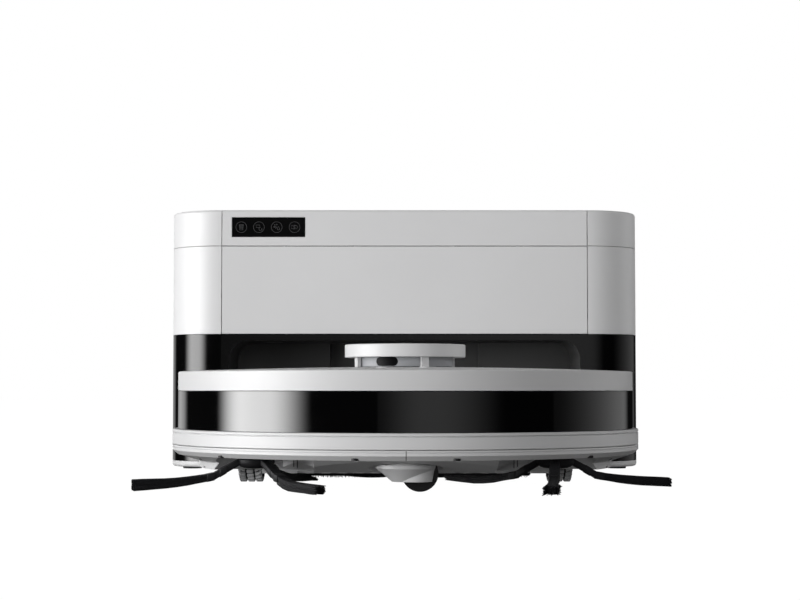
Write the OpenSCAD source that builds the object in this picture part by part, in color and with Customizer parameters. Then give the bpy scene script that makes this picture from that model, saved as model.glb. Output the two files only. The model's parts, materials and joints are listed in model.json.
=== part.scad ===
// Robotic floor cleaner in front of its self-emptying, mop-washing base station.
// Millimetres, +Z up, the floor at z = 0, the robot faces -Y.

/* [Robot] */
// Diameter over the white bottom band
robot_d = 347; // [340:1:352]
// Height of the flat underside above the floor
belly_z = 12; // [11:0.5:13]
// Diameter of the black bumper and of the white top ring
ring_d = 339; // [338:1:344]
// Height of the black band's lower edge
band_z = 40.2; // [39:0.1:41]
// Height of the white top ring's lower edge
ring_z = 68.2; // [68:0.1:70]
// Height of the top ring's upper edge
ring_top_z = 82.2; // [81:0.1:83]
// Rise of the crowned top at its middle
crown = 3.4; // [3:0.1:4.2]
// Diameter of the scanner turret's cap
cap_d = 93.2; // [90:0.2:96]
// Height of the scanner cap's top
cap_top_z = 103.5; // [102:0.1:106]
// Reach of a side brush arm from its hub
brush_reach = 85.5; // [80:0.5:86]

/* [Station] */
// Width of the base station
station_w = 412.2; // [410:0.2:430]
// Depth of the base station
station_d = 330; // [325:1:360]
// Height of the base station
station_h = 225; // [222:1:240]
// Radius of the upright corners
corner_r = 46.8; // [44:0.2:52]
// Height of the joint between black and white
white_z = 117; // [116:0.5:118]
// Height of the joint under the lid
lid_z = 193.6; // [192:0.2:196]
// Half width between the two upright seams
seam_x = 159.2; // [156:0.2:159.2]
// Wall thickness of the shells
wall = 3; // [2.4:0.1:3.2]

/* [Docking] */
// Distance from the robot's centre to the station's front
dock_gap = 208; // [200:1:220]
// Half width of the parking bay
bay_x = 152; // [152:0.5:154]
// Height of the parking bay's ceiling
bay_top_z = 111.6; // [110:0.2:112]
// Depth of the parking bay
bay_depth = 88; // [88:1:94]

/* [Hidden] */
$fn = 96;
robot_r = robot_d / 2;
ring_r = ring_d / 2;
gap = 0.3;
hub = [104, -102];
robot_y = (brush_reach - hub[1] - dock_gap - station_d) / 2;
station_y = robot_y + dock_gap;

// Lower shell
floor_t = 2.5;
shell_inner = robot_r - 2.7;
flat_r = 153;
step_z = 17;
chamfer = [169.6, 22];
rim_z = 25.2;
shell_top = 28.8;
ramp_start = -112;
ramp_rise = (chamfer[1] - belly_z) / (chamfer[0] + ramp_start);
inner_wall = [158, 160.5];
inner_wall_top = ring_z - gap;
pocket_r = [46, 25.5];
pocket_top = 22;
caster = [0, -133];
caster_wheel_r = 12.5;
caster_trail = 9.5;
well_r = 25;
well_top = 27;
mouth = [97, -50, 6];
roller = [-22, 23.5];
roller_r = 19.6;
guard_z = 8.6;
wheel_x = [106, 124];
wheel_r = 30;
pivot = [38, 30];
mop_edge = 42;
mop_r = 149;
mop_recess_z = 16;
post_spots = [[68, -54.2], [34, -112]];
cliff_angles = [-48.2, -11.4, 11.4, 48.2];
cliff_at = 170.1;
cliff_z = [22, 23.4];
bumper_end = -8;
bin_x = 70;
bin_z = [41.6, 61];

// Scanner
turret_y = 38;
turret_r = 40.5;
deck_z = ring_top_z + crown;
cap_z = 93.6;
post_angles = [-158, -68, 22, 112];
eye_z = deck_z + 4.6;

// Station
plinth_z = [1.5, 6.6];
deck_t = 2.8;
hinge_y = station_d - 26;
hinge_r = 4.2;
hinge_z = station_h - hinge_r;
lug_x = 125;
niche = [68, 12];
duct_y = 119;
panel_gap = 0.6;
tank_x = [16, 152];
tank_y = [102, 286];

// ---------------------------------------------------------------- helpers

module in_robot() {
    translate([0, robot_y, 0]) children();
}

module in_station() {
    translate([0, station_y, 0]) children();
}

module both_sides() {
    children();
    mirror([1, 0, 0]) children();
}

// Upright cylinder from z0 to z1
module post(r, z0, z1) {
    translate([0, 0, z0]) cylinder(r = r, h = z1 - z0);
}

// Box between two corners
module block(a, b) {
    translate(a) cube(b - a);
}

// Cylinder along X from x0 to x1, its axis through y and z
module axle_x(r, x0, x1, y, z) {
    translate([x0, y, z]) rotate([0, 90, 0]) cylinder(r = r, h = x1 - x0);
}

// Cylinder along Y from y0 to y1, its axis through x and z
module axle_y(r, y0, y1, x, z) {
    translate([x, y1, z]) rotate([90, 0, 0]) cylinder(r = r, h = y1 - y0);
}

// Outline with round corners, its front edge on y = 0
module round_rect(w, d, r) {
    translate([-w / 2 + r, 0]) square([w - 2 * r, d]);
    translate([-w / 2, r]) square([w, d - 2 * r]);
    for (x = [-1, 1], y = [r, d - r]) translate([x * (w / 2 - r), y]) circle(r);
}

// The station's outline, drawn in from its edge
module outline(inset = 0) {
    translate([0, inset]) round_rect(station_w - 2 * inset, station_d - 2 * inset, corner_r - inset);
}

module outline_slab(z0, z1, inset = 0) {
    translate([0, 0, z0]) linear_extrude(z1 - z0) outline(inset);
}

// Quarter circle of points round c, from angle a to angle b
function arc(c, r, a, b, n = 8) = [
    for (i = [0:n]) c + r * [cos(a + (b - a) * i / n), sin(a + (b - a) * i / n)]
];

// Upright section of a slab with a rolled top edge, from the middle to reach
function rolled(reach, h, e) = concat(
    [[0, 0], [reach, 0]], arc([reach - e, h - e], e, 0, 90), [[0, h]]
);

// The station's outline as a slab of height h whose top edge is rolled to radius e
module rolled_slab(h, e) {
    half_w = station_w / 2;
    half_d = station_d / 2;
    translate([0, half_d, 0]) {
        for (a = [0, 180]) rotate(a) {
            translate([0, half_d - corner_r, 0]) rotate([90, 0, 0])
                linear_extrude(station_d - 2 * corner_r) polygon(rolled(half_w, h, e));
            translate([corner_r - half_w, 0, 0]) rotate([90, 0, 90])
                linear_extrude(station_w - 2 * corner_r) polygon(rolled(half_d, h, e));
        }
        for (x = [-1, 1], y = [-1, 1])
            translate([x * (half_w - corner_r), y * (half_d - corner_r), 0])
                rotate_extrude() polygon(rolled(corner_r, h, e));
    }
}

// Where the side brush hubs and everything on their axes stand
module at_hub() {
    translate([hub[0], hub[1], 0]) children();
}

module at_caster() {
    translate([caster[0], caster[1], 0]) children();
}

module at_turret() {
    translate([0, turret_y, 0]) children();
}

// Height of the crowned top at radius r
function crown_z(r) = ring_top_z + crown * (1 - pow(r / ring_r, 2));

// Everything in front of, or behind, the line y = limit
module in_front_of(limit) {
    intersection() {
        children();
        block([-200, -200, 0], [200, limit, 120]);
    }
}

module behind(limit) {
    intersection() {
        children();
        block([-200, limit, 0], [200, 200, 120]);
    }
}

// ---------------------------------------------------------------- robot body

// Solid of the robot's underside, lifted and drawn in by t
module belly(t) {
    difference() {
        rotate_extrude() polygon([
            [0, belly_z + t], [flat_r - t, belly_z + t], [flat_r + 1 - t, step_z + t],
            [chamfer[0] - t, chamfer[1] + t], [robot_r - t, rim_z + t], [robot_r - t, shell_top],
            [0, shell_top]
        ]);
        translate([-200, 0, t]) rotate([90, 0, 90]) linear_extrude(400) polygon([
            [ramp_start, 0], [ramp_start, belly_z],
            [-200, belly_z + ramp_rise * (200 + ramp_start)], [-200, 0]
        ]);
    }
}

module mop_outline(r, edge) {
    intersection() {
        circle(r);
        translate([-200, edge]) square([400, 200]);
    }
}

// The left side brush's pocket, open to the front, drawn out by t
module pocket_outline(t) {
    polygon([
        [-123 - t, -200], [-123 - t, hub[1]], [-108 - t, -78 + t], [-88, -62 + 1.4 * t],
        [-62 + t, -100 + t / 2], [-62 + t, -200]
    ]);
}

module pocket(t, z0, z1) {
    both_sides() translate([0, 0, z0]) linear_extrude(z1 - z0) pocket_outline(t);
}

// Flared bowls round the side brush hubs, lifted by t
module bowls(t) {
    h = pocket_top + t - belly_z + 1;
    flare = (pocket_r[0] - pocket_r[1]) / (pocket_top - belly_z);
    both_sides() at_hub() translate([0, 0, belly_z - 1])
        cylinder(r1 = pocket_r[1] + flare * h, r2 = pocket_r[1], h = h);
}

module lower_shell() color("white") in_robot() difference() {
    union() {
        difference() {
            belly(0);
            belly(floor_t);
            post(shell_inner, rim_z, shell_top + 1);
        }
        intersection() {
            belly(0);
            union() {
                pocket(2, belly_z, pocket_top + 2);
                bowls(2);
                at_caster() post(well_r + 2, belly_z, shell_top);
                translate([0, 0, belly_z]) linear_extrude(mop_recess_z + 2 - belly_z)
                    mop_outline(mop_r + 2, mop_edge - 2);
            }
        }
        difference() {
            post(inner_wall[1], pocket_top + 2, inner_wall_top);
            post(inner_wall[0], belly_z, ring_z);
            block([-bin_x - 2, 0, bin_z[0] - 2], [bin_x + 2, 200, ring_z]);
        }
        difference() {
            post(inner_wall[1], pocket_top - 1.5, pocket_top + 3);
            post(inner_wall[0], belly_z, ring_z);
            translate([-200, 0, 0]) rotate([90, 0, 90]) linear_extrude(400) polygon([
                [ramp_start, 0], [ramp_start, belly_z + 1],
                [-200, belly_z + 1 + ramp_rise * (200 + ramp_start)], [-200, 0]
            ]);
            pocket(1, 0, pocket_top + 1);
            bowls(1);
        }
        at_caster() post(8, well_top + 1, 40);
        both_sides() block([74, 32, belly_z + 1], [77, 44, 36]);
    }
    pocket(0, 0, pocket_top);
    bowls(0);
    rotate_extrude() translate([robot_r - 0.4, 27.2]) square([1, 0.3]);
    both_sides() {
        at_hub() post(4.4, 0, pocket_top + 5);
        block([wheel_x[0] - 2.5, -32.5, 0], [wheel_x[1] + 2.5, 32.5, 20]);
        axle_x(3.05, 70, 80, pivot[0], pivot[1]);
        for (p = post_spots) translate([p[0], p[1], 0]) post(1.6, 0, 20);
        for (p = post_spots) translate([p[0], p[1], 0]) post(3.2, 0, belly_z + 1.6);
        translate([90, 75, 0]) post(3.4, 0, 25);
    }
    at_caster() post(well_r, 0, well_top);
    at_caster() post(4.05, 0, 50);
    linear_extrude(mop_recess_z) mop_outline(mop_r, mop_edge);
    block([-mouth[0] - 4.3, mouth[1] - 0.3, 0], [mouth[0] + 4.3, mouth[2] + 0.3, 20]);
    for (a = cliff_angles) rotate(a) translate([0, -cliff_at, 0]) post(2.4, 0, cliff_z[1] + 0.2);
}

// Cliff sensor windows under the front rim, and the two bumper switches
module robot_sensors() color("#202024") in_robot() {
    for (a = cliff_angles) rotate(a) translate([0, -cliff_at, 0]) post(2.3, cliff_z[0], cliff_z[1]);
    for (a = [-38, 38]) rotate(a) block([-6, -inner_wall[1] - 2.4, 46], [6, -inner_wall[1] - 0.5, 58]);
}

module mid_frame() color("#8a8d92") in_robot() difference() {
    union() {
        block([-96, -106, 46.6], [96, 8, 49]);
        block([-45, -118, 46.6], [45, -106, 49]);
        both_sides() for (p = post_spots) translate([p[0], p[1], 0]) post(3.5, 15.3, 47);
    }
    both_sides() for (p = post_spots) translate([p[0], p[1], 0]) post(1.25, 10, 26);
}

module frame_screws() color("silver") in_robot() both_sides() {
    for (p = post_spots) translate([p[0], p[1], 0]) {
        post(3, belly_z + 0.2, belly_z + 1.5);
        post(1.2, belly_z + 1.5, 25);
    }
}

module brush_housing() color("#2a2a2e") in_robot() difference() {
    block([-mouth[0] - 4, mouth[1], belly_z + 0.2], [mouth[0] + 4, mouth[2], 46.3]);
    block([-mouth[0], mouth[1] + 3, 0], [mouth[0], mouth[2] - 3, 43.6]);
    block([-20, 0, 24], [20, 20, 38]);
    axle_x(4.05, -120, 120, roller[0], roller[1]);
}

module brush_guard() color("#17171a") in_robot() difference() {
    block([-103.4, -54, guard_z], [103.4, 8, belly_z - 0.1]);
    block([-92.6, -42, 0], [92.6, -2, 20]);
    both_sides() for (x = [12 : 12 : 84]) block([x, -60, 0], [x + 6, -51, guard_z + 1.6]);
}

// The main brush's motor, and one gear motor over each side brush
module brush_motors() color("#55585c") in_robot() {
    axle_x(9, -98, -60, 17, 30);
    axle_x(3.5, -60, -54, 17, 30);
    both_sides() at_hub() {
        post(11, pocket_top + 2.3, 42);
        post(6, 42, 45);
    }
}

module battery() color("#3d6fb0") in_robot() {
    block([-57, -103, 15], [57, -56, 44]);
}

module main_board() color("#1f6b3a") in_robot() {
    block([-60, -100, 50.5], [60, -20, 52]);
    block([-14, -84, 52], [14, -56, 55]);
    block([26, -92, 52], [50, -80, 60]);
    both_sides() for (y = [-96, -24]) translate([55, y, 0]) post(2.2, 49.2, 50.5);
}

// The fan, and the duct that leads dust from the brush up to the bin
module suction_fan() color("#6a6d72") in_robot() {
    difference() {
        translate([46, 28, 0]) post(18, 19, 40.6);
        translate([46, 28, 0]) post(7, 36, 50);
    }
    difference() {
        block([-19.6, mouth[2] + 0.2, 22], [19.6, 50, 40]);
        block([-17, 0, 24.6], [17, 60, 37.4]);
    }
}

module robot_water_tank() color("#9aa3ab") in_robot() {
    difference() {
        block([-68, 52, 19], [68, 134, 39]);
        block([-66, 54, 21], [66, 132, 37]);
    }
}

module mop_lift_motors() color("#3a3c40") in_robot() both_sides() {
    block([80, 64, 34], [100, 86, 50]);
}

module robot_contacts() color("#c9c4b4") in_robot() both_sides() intersection() {
    difference() {
        post(robot_r + 0.2, 31, 37);
        post(robot_r - 1, 0, 50);
    }
    block([22, 100, 30], [38, 200, 38]);
}

// Cross-section of the white bottom band, from its lower edge up to the lip
module trim_ring() {
    rotate_extrude() polygon([
        [shell_inner + 0.2, shell_top + 0.4], [robot_r - 0.3, shell_top + 0.4],
        [robot_r, shell_top + 0.8], [robot_r, 37.5], [robot_r - 1.1, 37.7], [robot_r - 1.1, 38.1],
        [robot_r, 38.3], [robot_r, band_z - 0.6], [robot_r - 0.5, band_z],
        [ring_r - 2.5, band_z], [ring_r - 2.5, 38.4], [shell_inner + 0.2, 38.4]
    ]);
}

module band_ring() {
    difference() {
        post(ring_r, band_z + 0.2, ring_z - gap);
        post(ring_r - 2.5, 0, 100);
    }
}

module bin_opening() {
    block([-bin_x - 0.4, 100, bin_z[0] - 0.4], [bin_x + 0.4, 200, bin_z[1] + 0.4]);
}

module rear_wall() color("#141416") in_robot() difference() {
    behind(bumper_end + 6) band_ring();
    bin_opening();
}

module rear_trim() color("white") in_robot() difference() {
    behind(bumper_end + 6) trim_ring();
    both_sides() block([21.6, 100, 30.6], [38.4, 200, 37.4]);
}

module bumper_lens() color("#101012") in_robot() in_front_of(bumper_end) band_ring();

module bumper_trim() color("white") in_robot() in_front_of(bumper_end) trim_ring();

module top_cover() color("white") in_robot() difference() {
    rotate_extrude() polygon(concat(
        [[0, ring_z], [ring_r, ring_z]],
        arc([ring_r - 1.2, ring_top_z - 1.2], 1.2, 0, 90, 6),
        [for (i = [1:12]) let (r = (ring_r - 1.2) * (1 - i / 12)) [r, crown_z(r)]]
    ));
    rotate_extrude() polygon(concat(
        [[0, 0], [ring_r - 2.7, 0], [ring_r - 2.7, ring_top_z - 4]],
        [for (i = [1:12]) let (r = (ring_r - 2.7) * (1 - i / 12)) [r, crown_z(r) - floor_t]]
    ));
    at_turret() post(turret_r - 3, 0, 120);
    both_sides() translate([15, -96, 0]) post(6.3, 0, 120);
}

module push_button(x) {
    translate([x, -96, 0]) {
        post(6, 79.5, crown_z(97) + 0.4);
        post(3, 72, 79.5);
    }
}

module power_button() color("#e8e8ea") in_robot() push_button(-15);

module home_button() color("#e8e8ea") in_robot() push_button(15);

// ---------------------------------------------------------------- scanner

module lidar_base() color("#2a2a2e") in_robot() at_turret() difference() {
    union() {
        post(turret_r - 3.2, 66, deck_z + 0.2);
        post(turret_r, deck_z + 0.2, deck_z + 0.5);
    }
    post(4.05, 70, 120);
}

module lidar_cap() color("white") in_robot() at_turret() {
    difference() {
        rotate_extrude() polygon(concat(
            [[0, cap_z], [cap_d / 2 - 0.4, cap_z], [cap_d / 2, cap_z + 0.4]],
            arc([cap_d / 2 - 1, cap_top_z - 1], 1, 0, 90, 6), [[0, cap_top_z]]
        ));
        post(cap_d / 2 - 4, cap_z - 1, cap_top_z - 3);
    }
    for (a = post_angles) rotate(a) block([-3, -turret_r, deck_z + 0.5], [3, -37.6, cap_z]);
    difference() {
        post(cap_d / 2 - 3, cap_z, cap_z + 1.6);
        post(turret_r - 3, 80, 110);
    }
}

// Two long holes with round ends in the drum's wall, drawn in by t
module eyes(t) {
    for (a = [-22.7, 157.3]) rotate(a) {
        block([-5.4, -40, eye_z - 3.5 + t], [5.4, -33 - t, eye_z + 3.5 - t]);
        for (x = [-5.4, 5.4]) axle_y(3.5 - t, -40, -33 - t, x, eye_z);
    }
}

module lidar_rotor() color("#d6d8da") in_robot() at_turret() difference() {
    union() {
        post(36.6, deck_z + 0.8, cap_z + 1.2);
        post(4, 72, deck_z + 3);
    }
    eyes(0);
}

module lidar_windows() color("#08080a") in_robot() at_turret() intersection() {
    post(36.6, 80, 100);
    eyes(0.1);
}

// ---------------------------------------------------------------- brushes

module main_brush() color("#242428") in_robot() {
    axle_x(9, -92, 92, roller[0], roller[1]);
    axle_x(4, -100.5, 100.5, roller[0], roller[1]);
    translate([0, roller[0], roller[1]]) for (a = [0 : 60 : 300]) rotate([a, 0, 0])
        block([-90, -1.2, 8], [90, 1.2, roller_r]);
}

// One bristle arm along +X: a sloping sleeve, then bristles down to just above the floor
module brush_arm() {
    translate([0, 2, 0]) rotate([90, 0, 0]) linear_extrude(4) polygon([
        [6, 16.2], [12, 16.2], [31, 6.4], [60, 1.8], [brush_reach, 0.5],
        [brush_reach, 3.4], [68, 3.4], [44, 8], [31, 11.4], [12, 20.8], [6, 20.8]
    ]);
}

module side_brush(angles) {
    difference() {
        union() {
            post(13, 14.4, pocket_top - 0.6);
            for (a = angles) rotate(a) brush_arm();
        }
        post(2, 0, 16.4);
    }
    post(4, pocket_top - 0.6, pocket_top + 2);
}

module side_brush_left() color("#101012") in_robot() translate([-hub[0], hub[1], 0])
    side_brush([200, 304, 65]);

module side_brush_right() color("#101012") in_robot() at_hub() side_brush([16.5, 263.5, 149]);

// ---------------------------------------------------------------- wheels

module swing_arm() {
    axle_x(10, 78, 102, pivot[0], pivot[1]);
    axle_x(3, 72.5, 78, pivot[0], pivot[1]);
    difference() {
        union() {
            axle_x(12, 102, 105, pivot[0], pivot[1]);
            axle_x(12, 102, 105, 0, wheel_r);
            block([102, 0, 20], [105, pivot[0], 40]);
        }
        axle_x(4.05, 90, 110, 0, wheel_r);
    }
}

module swing_arm_left() color("#4a4d52") in_robot() mirror([1, 0, 0]) swing_arm();

module swing_arm_right() color("#4a4d52") in_robot() swing_arm();

module wheel_rim() {
    axle_x(21, wheel_x[0], wheel_x[1], 0, wheel_r);
    axle_x(4, 101.8, wheel_x[0], 0, wheel_r);
}

module wheel_left() color("#d8d8d8") in_robot() mirror([1, 0, 0]) wheel_rim();

module wheel_right() color("#d8d8d8") in_robot() wheel_rim();

module tyre() {
    difference() {
        axle_x(wheel_r, wheel_x[0], wheel_x[1], 0, wheel_r);
        axle_x(21, 100, 130, 0, wheel_r);
        translate([115, 0, wheel_r]) rotate([0, 90, 0]) difference() {
            cylinder(r = 32, h = 2);
            translate([0, 0, -1]) cylinder(r = 27, h = 4);
        }
    }
}

module tyre_left() color("#9c9ea0") in_robot() mirror([1, 0, 0]) tyre();

module tyre_right() color("#9c9ea0") in_robot() tyre();

module caster_fork() color("white") in_robot() at_caster() {
    difference() {
        union() {
            intersection() {
                post(20.5, 0, 18.4);
                union() {
                    translate([0, 0, 6.8]) cylinder(r1 = 9.5, r2 = 20.5, h = 9.2);
                    post(20.5, 16, 18.4);
                    translate([6, 0, 6.8]) cylinder(r1 = 12.5, r2 = 14.5, h = 11);
                }
            }
            post(18, 18.4, well_top - 0.4);
        }
        block([-4.5, -4.4, 0], [24, 4.4, 2 * caster_wheel_r + 0.4]);
        axle_y(1.5, -8, 8, caster_trail, caster_wheel_r);
    }
    post(4, well_top - 0.4, 39);
}

module caster_axle() color("silver") in_robot() at_caster() axle_y(1.5, -8, 8, caster_trail, caster_wheel_r);

module caster_wheel() color("#1a1a1c") in_robot() at_caster() difference() {
    axle_y(caster_wheel_r, -3.9, 3.9, caster_trail, caster_wheel_r);
    axle_y(1.55, -5, 5, caster_trail, caster_wheel_r);
}

// ---------------------------------------------------------------- bin and mop

module dust_bin() color("#3a3c40") in_robot() difference() {
    union() {
        block([-bin_x, 54, bin_z[0]], [bin_x, 156, bin_z[1]]);
        intersection() {
            post(ring_r, bin_z[0], bin_z[1]);
            block([-bin_x, 150, bin_z[0]], [bin_x, 200, bin_z[1]]);
        }
    }
    block([-bin_x + 2.5, 74, bin_z[0] + 2.5], [bin_x - 2.5, 150, bin_z[1] - 2.5]);
    block([-bin_x + 2.5, 50, bin_z[0] + 2.5], [bin_x - 2.5, 71, bin_z[1] - 2.5]);
    block([-30, 160, 48], [30, 200, 55]);
}

module bin_filter() color("#e9e6dc") in_robot() {
    block([-bin_x + 3, 56, bin_z[0] + 3], [bin_x - 3, 70.8, bin_z[1] - 3]);
}

module mop_plate() color("#7c8086") in_robot() {
    translate([0, 0, belly_z - 0.4]) linear_extrude(3.4) mop_outline(mop_r - 2, mop_edge + 2);
    both_sides() translate([90, 75, 0]) post(3, 14, 30);
}

module mop_pad() color("#6d7fa3") in_robot() {
    translate([0, 0, 8]) linear_extrude(belly_z - 8.4) mop_outline(mop_r - 1, mop_edge + 1);
}

// ---------------------------------------------------------------- station

module plinth() color("white") in_station() {
    difference() {
        translate([0, 0, plinth_z[1]]) mirror([0, 0, 1]) rolled_slab(plinth_z[1] - plinth_z[0], 2.5);
        block([-bay_x + 2, -1, 3.5], [bay_x - 2, bay_depth - 2, 10]);
    }
}

module station_feet() color("#222224") in_station() {
    both_sides() for (y = [24, station_d - 24])
        translate([186, y, 0]) post(8.2, 0, plinth_z[0]);
}

module wash_tray() color("#b9bcc0") in_station() {
    difference() {
        block([-bay_x + 2.4, 3, 3.6], [bay_x - 2.4, bay_depth - 2.4, 6.4]);
        block([-bay_x + 8, 8, 4.6], [bay_x - 8, bay_depth - 8, 8]);
    }
    for (x = [-130 : 20 : 130]) block([x - 1.2, 12, 4.6], [x + 1.2, bay_depth - 12, 6.8]);
}

// Parking bay as seen from the front, drawn out by t
module bay_arch(t) {
    r = 16;
    translate([-bay_x - t, 0]) square([2 * (bay_x + t), bay_top_z + t - r]);
    translate([-bay_x - t + r, 0]) square([2 * (bay_x + t - r), bay_top_z + t]);
    for (x = [-1, 1]) translate([x * (bay_x + t - r), bay_top_z + t - r]) circle(r);
}

module bay_solid(t, y0, y1) {
    translate([0, y1, 0]) rotate([90, 0, 0]) linear_extrude(y1 - y0) bay_arch(t);
}

module lower_housing() color("#131315") in_station() difference() {
    union() {
        difference() {
            outline_slab(plinth_z[1] + 0.1, white_z - 0.1);
            outline_slab(plinth_z[1] + 3, white_z + 1, wall);
        }
        intersection() {
            outline_slab(plinth_z[1] + 0.1, bay_top_z + wall - 0.4);
            union() {
                bay_solid(2.4, 0, bay_depth + wall);
                block([-niche[0] - wall, bay_depth, 0],
                      [niche[0] + wall, bay_depth + niche[1] + wall, bay_top_z + 2]);
            }
        }
    }
    bay_solid(0, -5, bay_depth);
    block([-niche[0], bay_depth - 1, 0], [niche[0], bay_depth + niche[1], bay_top_z - 0.6]);
    axle_y(13.2, bay_depth + 5, bay_depth + 20, 0, 52);
    block([119.6, station_d - 10, 24.6], [150.4, station_d + 5, 50.4]);
}

module inner_deck() color("#2a2a2e") in_station() difference() {
    union() {
        outline_slab(white_z - deck_t, white_z - 0.1, wall + 0.3);
        block([-seam_x - 2, 94, white_z - 1], [seam_x + 2, 96.5, 190]);
    }
    translate([0, duct_y, 0]) post(13.4, 100, 130);
    axle_y(13.4, 90, 100, 0, 150);
}

module upper_housing() color("white") in_station() difference() {
    outline_slab(white_z + 0.1, lid_z - 0.2);
    outline_slab(white_z - 1, lid_z + 1, wall);
    block([-seam_x, -1, 0], [seam_x, wall + 2, 300]);
}

// Lid and rear cap are cut from one rolled slab
module lid_slab() {
    translate([0, 0, lid_z + 0.2]) rolled_slab(station_h - lid_z - 0.2, 2.5);
}

module rear_cap() color("white") in_station() difference() {
    union() {
        intersection() {
            lid_slab();
            block([-300, hinge_y + hinge_r + 0.5, 0], [300, 400, 300]);
        }
        both_sides() axle_x(hinge_r, lug_x - 8, lug_x + 8, hinge_y, hinge_z);
        both_sides() block([lug_x - 8, hinge_y, hinge_z - 3], [lug_x + 8, hinge_y + 8, hinge_z + 3]);
    }
    block([-170, hinge_y + hinge_r + 4, 0], [170, station_d - wall, station_h - wall]);
    both_sides() axle_x(2, lug_x - 20, lug_x + 20, hinge_y, hinge_z);
}

module hinge_pins() color("silver") in_station() both_sides()
    axle_x(2, lug_x - 18, lug_x + 18, hinge_y, hinge_z);

module lid() color("white") in_station() difference() {
    union() {
        intersection() {
            lid_slab();
            block([-300, -10, 0], [300, hinge_y, 300]);
        }
        axle_x(hinge_r, -196, 196, hinge_y, hinge_z);
    }
    intersection() {
        outline_slab(0, station_h - wall, wall);
        block([-300, -10, 0], [300, hinge_y - hinge_r - 2, 300]);
    }
    both_sides() block([lug_x - 8.4, hinge_y - 5, 0], [lug_x + 8.4, hinge_y + 10, 300]);
    both_sides() axle_x(2.05, lug_x - 19, lug_x + 19, hinge_y, hinge_z);
    block([-seam_x, -1, 0], [seam_x, wall + 0.2, 300]);
}

module lid_front_strip() color("white") in_station() difference() {
    intersection() {
        lid_slab();
        block([-seam_x + panel_gap, -1, 0], [seam_x - panel_gap, wall, 300]);
    }
    block([-150.4, -1, 201.3], [-86.3, 1.4, 218.7]);
}

module display_window() color("#060607") in_station() {
    block([-150.2, 0.1, 201.5], [-86.5, 1.3, 218.5]);
}

module front_panel() color("white") in_station() {
    block([-seam_x + panel_gap, 0, white_z + 0.3], [seam_x - panel_gap, wall, lid_z - 0.4]);
    both_sides() for (z = [130, 180]) block([seam_x - 12, wall, z], [seam_x - 4, wall + 7, z + 4]);
}

module water_tanks() color("#a9b4bc") in_station() both_sides() {
    difference() {
        block([tank_x[0], tank_y[0], white_z + 0.2], [tank_x[1], tank_y[1], 186]);
        block([tank_x[0] + 2.5, tank_y[0] + 2.5, white_z + 3], [tank_x[1] - 2.5, tank_y[1] - 2.5, 183]);
    }
    translate([84, 150, 0]) post(18, 186, 196);
    for (x = [50, 112]) block([x, 225, 186], [x + 6, 240, 210]);
    block([50, 225, 206], [118, 240, 212]);
}

module dust_bag() color("#e8e2d2") in_station() {
    block([-105, 16, 125], [105, 84, 182]);
    axle_y(20, 84, 93.6, 0, 150);
}

module dust_duct() color("#3a3c40") in_station() difference() {
    union() {
        translate([0, duct_y, 0]) post(13, 39, 163);
        axle_y(13, bay_depth + niche[1] + 0.6, duct_y, 0, 52);
        axle_y(13, 93.8, duct_y, 0, 150);
    }
    translate([0, duct_y, 0]) post(11, 41, 161);
    axle_y(11, 80, duct_y, 0, 52);
    axle_y(11, 80, duct_y, 0, 150);
}

module fan_motor() color("#55585c") in_station() translate([108, 215, 0]) {
    post(38, 10, 84);
    post(20, 84, 98);
}

module water_pump() color("#3a3c40") in_station() {
    block([-150, 180, 10], [-80, 235, 52]);
    axle_y(16, 235, 272, -115, 31);
}

module control_board() color("#1f6b3a") in_station() {
    block([-56, station_d - 12, 18], [56, station_d - 10, 100]);
    block([-20, station_d - 22, 40], [20, station_d - 12, 70]);
}

module station_contacts() color("#c9c4b4") in_station() both_sides()
    block([23, bay_depth - 3.6, 31], [37, bay_depth + niche[1] - 0.1, 37]);

module power_inlet() color("#1c1c1e") in_station() difference() {
    block([120, station_d - 26, 25], [150, station_d, 50]);
    block([124, station_d - 18, 30], [146, station_d + 1, 45]);
}

lower_shell();
robot_sensors();
mid_frame();
frame_screws();
brush_housing();
brush_guard();
brush_motors();
battery();
main_board();
suction_fan();
robot_water_tank();
mop_lift_motors();
robot_contacts();
rear_wall();
rear_trim();
top_cover();
lidar_base();
lidar_cap();
lidar_rotor();
lidar_windows();
bumper_lens();
bumper_trim();
main_brush();
side_brush_left();
side_brush_right();
swing_arm_left();
swing_arm_right();
wheel_left();
wheel_right();
tyre_left();
tyre_right();
caster_fork();
caster_axle();
caster_wheel();
dust_bin();
bin_filter();
mop_plate();
mop_pad();
power_button();
home_button();
plinth();
station_feet();
wash_tray();
lower_housing();
inner_deck();
upper_housing();
rear_cap();
hinge_pins();
lid();
lid_front_strip();
display_window();
front_panel();
water_tanks();
dust_bag();
dust_duct();
fan_motor();
water_pump();
control_board();
station_contacts();
power_inlet();
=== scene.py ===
"""Looks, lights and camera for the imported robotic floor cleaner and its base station."""
import json
import math
import random

import bmesh
import bpy
from mathutils import Matrix, Vector


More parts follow.
